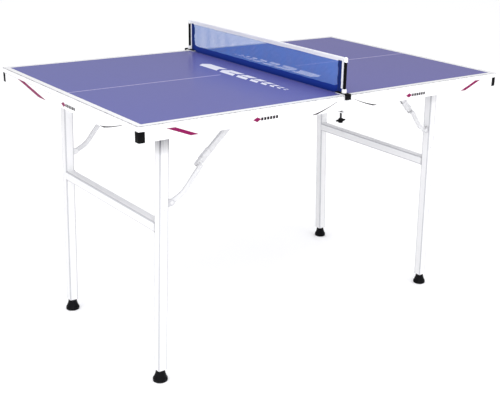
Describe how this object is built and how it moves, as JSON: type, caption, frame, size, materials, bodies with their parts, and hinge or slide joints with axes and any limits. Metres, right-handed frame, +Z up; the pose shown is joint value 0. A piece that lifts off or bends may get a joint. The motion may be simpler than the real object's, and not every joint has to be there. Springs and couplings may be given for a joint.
{
  "type": "ping pong table",
  "caption": "Compact table tennis table with a framed top on two folding leg frames, jointed braces, levelling feet and a clamped net.",
  "frame": {"origin": "on the floor, under the middle of the top", "axes": "+X along the table's length, +Y across its width, +Z up; the net lies in the YZ plane"},
  "size_m": [1.22, 0.7822, 0.822],
  "materials": {
    "playing_surface": "satin blue-violet lacquer on fibreboard, with white lines and edges",
    "white_paint": "smooth white powder coat",
    "black_plastic": "fine-textured black moulding",
    "black_steel": "black painted steel",
    "zinc_steel": "bright zinc plate",
    "net_blue": "knitted open net with a woven hem",
    "white_tape": "woven white tape, folded and stitched",
    "white_plastic": "smooth white moulding"
  },
  "bodies": {
    "top": {"board_left": "playing_surface", "board_right": "playing_surface", "rail_front_left": "white_paint", "rail_front_right": "white_paint", "rail_rear_left": "white_paint", "rail_rear_right": "white_paint", "rail_end_left": "white_paint", "rail_end_right": "white_paint", "corner_cap_left_front": "black_plastic", "corner_cap_left_rear": "black_plastic", "corner_cap_right_front": "black_plastic", "corner_cap_right_rear": "black_plastic", "rail_joiner_front": "zinc_steel", "rail_joiner_rear": "zinc_steel", "cross_tube_left": "white_paint", "cross_tube_right": "white_paint", "leg_bolt_left_front": "zinc_steel", "leg_bolt_left_rear": "zinc_steel", "leg_bolt_right_front": "zinc_steel", "leg_bolt_right_rear": "zinc_steel", "brace_bracket_left_front": "white_paint", "brace_bracket_left_rear": "white_paint", "brace_bracket_right_front": "white_paint", "brace_bracket_right_rear": "white_paint", "net_post_front": "black_steel", "net_post_rear": "black_steel", "post_cap_front": "white_plastic", "post_cap_rear": "white_plastic", "clamp_bracket_front": "white_paint", "clamp_bracket_rear": "white_paint", "clamp_cover_front": "black_plastic", "clamp_cover_rear": "black_plastic", "net_mesh": "net_blue", "net_tape": "white_tape"},
    "leg_frame_left": {"leg_left_front": "white_paint", "leg_left_rear": "white_paint", "cross_rail_left": "white_paint"},
    "upper_braces_left": {"upper_brace_left_front": "white_paint", "upper_brace_left_rear": "white_paint"},
    "lower_braces_left": {"lower_brace_left_front": "white_paint", "lower_brace_left_rear": "white_paint"},
    "lock_sleeve_left_front": {"lock_sleeve_left_front": "white_paint"},
    "lock_sleeve_left_rear": {"lock_sleeve_left_rear": "white_paint"},
    "foot_left_front": {"foot_left_front": "black_plastic"},
    "foot_left_rear": {"foot_left_rear": "black_plastic"},
    "leg_frame_right": {"leg_right_front": "white_paint", "leg_right_rear": "white_paint", "cross_rail_right": "white_paint"},
    "upper_braces_right": {"upper_brace_right_front": "white_paint", "upper_brace_right_rear": "white_paint"},
    "lower_braces_right": {"lower_brace_right_front": "white_paint", "lower_brace_right_rear": "white_paint"},
    "lock_sleeve_right_front": {"lock_sleeve_right_front": "white_paint"},
    "lock_sleeve_right_rear": {"lock_sleeve_right_rear": "white_paint"},
    "foot_right_front": {"foot_right_front": "black_plastic"},
    "foot_right_rear": {"foot_right_rear": "black_plastic"},
    "clamp_pad_front": {"clamp_pad_front": "white_plastic"},
    "clamp_screw_front": {"clamp_screw_front": "black_plastic"},
    "clamp_pad_rear": {"clamp_pad_rear": "white_plastic"},
    "clamp_screw_rear": {"clamp_screw_rear": "black_plastic"}
  },
  "joints": [
    {"name": "leg_fold_left", "type": "hinge", "parent": "top", "child": "leg_frame_left", "pos_m": [-0.487, -0.012, 0.6655], "axis": [0, -1, 0], "range_deg": [0, 92]},
    {"name": "upper_brace_turn_left", "type": "hinge", "parent": "top", "child": "upper_braces_left", "pos_m": [-0.251, -0.012, 0.6895], "axis": [0, -1, 0], "range_deg": [-45.04, 0]},
    {"name": "lower_brace_turn_left", "type": "hinge", "parent": "leg_frame_left", "child": "lower_braces_left", "pos_m": [-0.46909, -0.012, 0.49077], "axis": [0, -1, 0], "range_deg": [0, 41.52]},
    {"name": "sleeve_slide_left_front", "type": "slide", "parent": "upper_braces_left", "child": "lock_sleeve_left_front", "axis": [0.7391, 0, 0.6735], "range_m": [0, 0.05]},
    {"name": "sleeve_slide_left_rear", "type": "slide", "parent": "upper_braces_left", "child": "lock_sleeve_left_rear", "axis": [0.7391, 0, 0.6735], "range_m": [0, 0.05]},
    {"name": "foot_screw_left_front", "type": "slide", "parent": "leg_frame_left", "child": "foot_left_front", "axis": [-0.0349, 0, -0.9994], "range_m": [0, 0.012]},
    {"name": "foot_screw_left_rear", "type": "slide", "parent": "leg_frame_left", "child": "foot_left_rear", "axis": [-0.0349, 0, -0.9994], "range_m": [0, 0.012]},
    {"name": "leg_fold_right", "type": "hinge", "parent": "top", "child": "leg_frame_right", "pos_m": [0.487, 0.022, 0.6655], "axis": [0, 1, 0], "range_deg": [0, 92]},
    {"name": "upper_brace_turn_right", "type": "hinge", "parent": "top", "child": "upper_braces_right", "pos_m": [0.316, 0.022, 0.6895], "axis": [0, 1, 0], "range_deg": [-49.6, 0]},
    {"name": "lower_brace_turn_right", "type": "hinge", "parent": "leg_frame_right", "child": "lower_braces_right", "pos_m": [0.46755, 0.022, 0.53474], "axis": [0, 1, 0], "range_deg": [0, 36.53]},
    {"name": "sleeve_slide_right_front", "type": "slide", "parent": "upper_braces_right", "child": "lock_sleeve_right_front", "axis": [-0.6997, 0, 0.7145], "range_m": [0, 0.025]},
    {"name": "sleeve_slide_right_rear", "type": "slide", "parent": "upper_braces_right", "child": "lock_sleeve_right_rear", "axis": [-0.6997, 0, 0.7145], "range_m": [0, 0.025]},
    {"name": "foot_screw_right_front", "type": "slide", "parent": "leg_frame_right", "child": "foot_right_front", "axis": [0.0349, 0, -0.9994], "range_m": [0, 0.012]},
    {"name": "foot_screw_right_rear", "type": "slide", "parent": "leg_frame_right", "child": "foot_right_rear", "axis": [0.0349, 0, -0.9994], "range_m": [0, 0.012]},
    {"name": "clamp_travel_front", "type": "slide", "parent": "top", "child": "clamp_pad_front", "axis": [0, 0, -1], "range_m": [0, 0.0035]},
    {"name": "clamp_turn_front", "type": "hinge", "parent": "clamp_pad_front", "child": "clamp_screw_front", "pos_m": [0, -0.363, 0.664], "axis": [0, 0, 1], "range_deg": [0, 1008.01]},
    {"name": "clamp_travel_rear", "type": "slide", "parent": "top", "child": "clamp_pad_rear", "axis": [0, 0, -1], "range_m": [0, 0.0035]},
    {"name": "clamp_turn_rear", "type": "hinge", "parent": "clamp_pad_rear", "child": "clamp_screw_rear", "pos_m": [0, 0.363, 0.664], "axis": [0, 0, 1], "range_deg": [0, 1008.01]}
  ],
  "couplings": [
    {"joint": "upper_brace_turn_left", "follows": "leg_fold_left", "ratio": -0.48958},
    {"joint": "lower_brace_turn_left", "follows": "leg_fold_left", "ratio": 0.45131},
    {"joint": "upper_brace_turn_right", "follows": "leg_fold_right", "ratio": -0.53913},
    {"joint": "lower_brace_turn_right", "follows": "leg_fold_right", "ratio": 0.39703},
    {"joint": "clamp_turn_front", "follows": "clamp_travel_front", "rad_per_m": 5026.5},
    {"joint": "clamp_turn_rear", "follows": "clamp_travel_rear", "rad_per_m": 5026.5}
  ]
}
